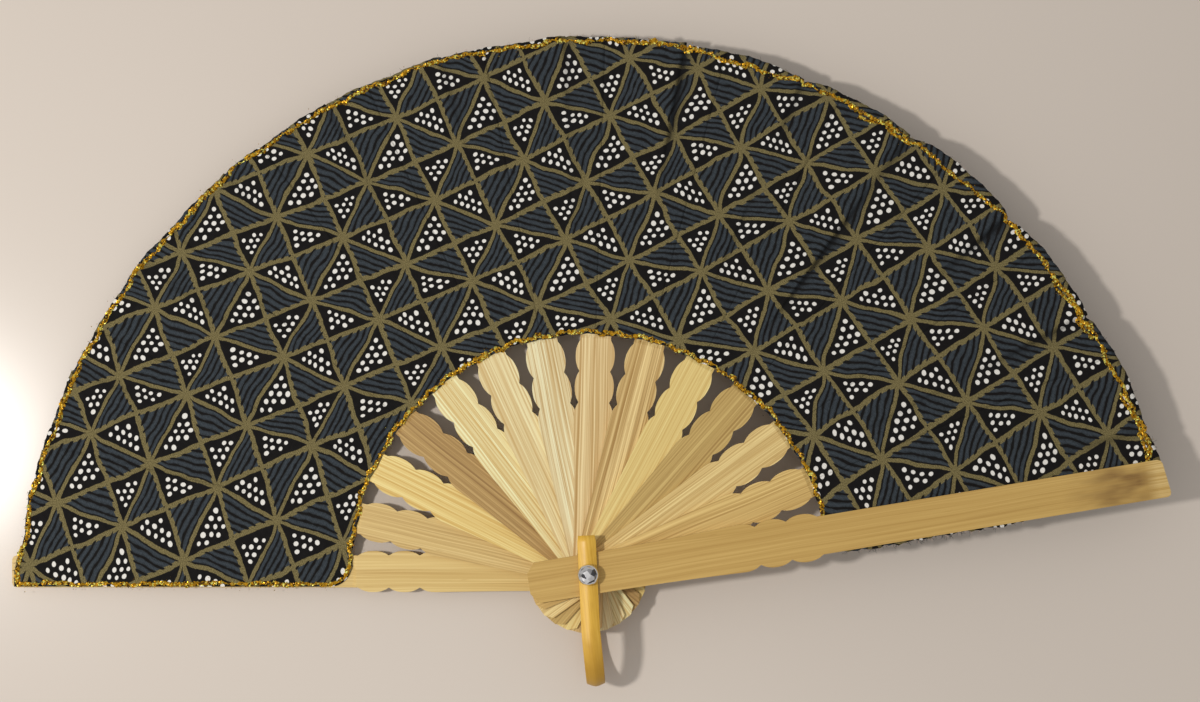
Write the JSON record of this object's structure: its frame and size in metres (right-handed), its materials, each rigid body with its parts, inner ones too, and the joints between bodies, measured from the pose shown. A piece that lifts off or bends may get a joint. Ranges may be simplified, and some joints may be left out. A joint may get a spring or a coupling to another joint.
{
  "type": "folding hand fan",
  "caption": "Open folding hand fan: notched bamboo sticks on one rivet, a printed cloth leaf edged with glitter and a bent bail loop.",
  "frame": {"origin": "On the pivot axis, at the underside of the rivet's back head, the lowest level of the fan.", "axes": "+Y runs from the pivot through the middle of the open leaf, +X towards the front guard, +Z out of the printed face along the rivet."},
  "size_m": [0.4165, 0.2331, 0.0293],
  "materials": {
    "guard_bamboo": "satin, fine lengthwise grain",
    "pale_bamboo": "satin, fine lengthwise grain",
    "tan_bamboo": "satin, fine lengthwise grain",
    "leaf_cloth": "printed cotton",
    "rivet_metal": "polished",
    "crystal": "faceted, clear",
    "loop_cane": "glossy",
    "glitter_gold": "glitter glue"
  },
  "bodies": {
    "back_guard": {"back_guard": "guard_bamboo", "leaf_at_back_guard": "leaf_cloth", "rivet_pin": "rivet_metal", "rivet_cup": "rivet_metal", "rivet_crystal": "crystal"},
    "rib_01": {"rib_01": "tan_bamboo", "leaf_at_rib_01": "leaf_cloth"},
    "rib_02": {"rib_02": "pale_bamboo", "leaf_at_rib_02": "leaf_cloth"},
    "rib_03": {"rib_03": "tan_bamboo", "leaf_at_rib_03": "leaf_cloth"},
    "rib_04": {"rib_04": "pale_bamboo", "leaf_at_rib_04": "leaf_cloth"},
    "rib_05": {"rib_05": "pale_bamboo", "leaf_at_rib_05": "leaf_cloth"},
    "rib_06": {"rib_06": "pale_bamboo", "leaf_at_rib_06": "leaf_cloth"},
    "rib_07": {"rib_07": "tan_bamboo", "leaf_at_rib_07": "leaf_cloth"},
    "rib_08": {"rib_08": "tan_bamboo", "leaf_at_rib_08": "leaf_cloth"},
    "rib_09": {"rib_09": "pale_bamboo", "leaf_at_rib_09": "leaf_cloth"},
    "rib_10": {"rib_10": "tan_bamboo", "leaf_at_rib_10": "leaf_cloth"},
    "rib_11": {"rib_11": "pale_bamboo", "leaf_at_rib_11": "leaf_cloth"},
    "rib_12": {"rib_12": "tan_bamboo", "leaf_at_rib_12": "leaf_cloth"},
    "front_guard": {"front_guard": "guard_bamboo", "leaf_at_front_guard": "leaf_cloth"},
    "bail_loop": {"bail_loop": "loop_cane"}
  },
  "joints": [
    {"name": "fan_fold", "type": "hinge", "parent": "back_guard", "child": "rib_01", "pos_m": [0, 0, 0.0065], "axis": [0, 0, 1], "range_deg": [0, 13.1]},
    {"name": "rib_02_fold", "type": "hinge", "parent": "rib_01", "child": "rib_02", "pos_m": [0, 0, 0.0078], "axis": [0, 0, 1], "range_deg": [0, 13.1]},
    {"name": "rib_03_fold", "type": "hinge", "parent": "rib_02", "child": "rib_03", "pos_m": [0, 0, 0.0091], "axis": [0, 0, 1], "range_deg": [0, 13.1]},
    {"name": "rib_04_fold", "type": "hinge", "parent": "rib_03", "child": "rib_04", "pos_m": [0, 0, 0.0104], "axis": [0, 0, 1], "range_deg": [0, 13.1]},
    {"name": "rib_05_fold", "type": "hinge", "parent": "rib_04", "child": "rib_05", "pos_m": [0, 0, 0.0117], "axis": [0, 0, 1], "range_deg": [0, 13.1]},
    {"name": "rib_06_fold", "type": "hinge", "parent": "rib_05", "child": "rib_06", "pos_m": [0, 0, 0.013], "axis": [0, 0, 1], "range_deg": [0, 13.1]},
    {"name": "rib_07_fold", "type": "hinge", "parent": "rib_06", "child": "rib_07", "pos_m": [0, 0, 0.0143], "axis": [0, 0, 1], "range_deg": [0, 13.1]},
    {"name": "rib_08_fold", "type": "hinge", "parent": "rib_07", "child": "rib_08", "pos_m": [0, 0, 0.0156], "axis": [0, 0, 1], "range_deg": [0, 13.1]},
    {"name": "rib_09_fold", "type": "hinge", "parent": "rib_08", "child": "rib_09", "pos_m": [0, 0, 0.0169], "axis": [0, 0, 1], "range_deg": [0, 13.1]},
    {"name": "rib_10_fold", "type": "hinge", "parent": "rib_09", "child": "rib_10", "pos_m": [0, 0, 0.0182], "axis": [0, 0, 1], "range_deg": [0, 13.1]},
    {"name": "rib_11_fold", "type": "hinge", "parent": "rib_10", "child": "rib_11", "pos_m": [0, 0, 0.0195], "axis": [0, 0, 1], "range_deg": [0, 13.1]},
    {"name": "rib_12_fold", "type": "hinge", "parent": "rib_11", "child": "rib_12", "pos_m": [0, 0, 0.0208], "axis": [0, 0, 1], "range_deg": [0, 13.1]},
    {"name": "front_guard_fold", "type": "hinge", "parent": "rib_12", "child": "front_guard", "pos_m": [0, 0, 0.0225], "axis": [0, 0, 1], "range_deg": [0, 13.1]},
    {"name": "loop_swing", "type": "hinge", "parent": "back_guard", "child": "bail_loop", "pos_m": [0, 0, 0.01355], "axis": [0, 0, 1], "range_deg": [-66, 66]}
  ],
  "couplings": [
    {"joint": "rib_02_fold", "follows": "fan_fold", "ratio": 1},
    {"joint": "rib_03_fold", "follows": "fan_fold", "ratio": 1},
    {"joint": "rib_04_fold", "follows": "fan_fold", "ratio": 1},
    {"joint": "rib_05_fold", "follows": "fan_fold", "ratio": 1},
    {"joint": "rib_06_fold", "follows": "fan_fold", "ratio": 1},
    {"joint": "rib_07_fold", "follows": "fan_fold", "ratio": 1},
    {"joint": "rib_08_fold", "follows": "fan_fold", "ratio": 1},
    {"joint": "rib_09_fold", "follows": "fan_fold", "ratio": 1},
    {"joint": "rib_10_fold", "follows": "fan_fold", "ratio": 1},
    {"joint": "rib_11_fold", "follows": "fan_fold", "ratio": 1},
    {"joint": "rib_12_fold", "follows": "fan_fold", "ratio": 1},
    {"joint": "front_guard_fold", "follows": "fan_fold", "ratio": 1}
  ]
}
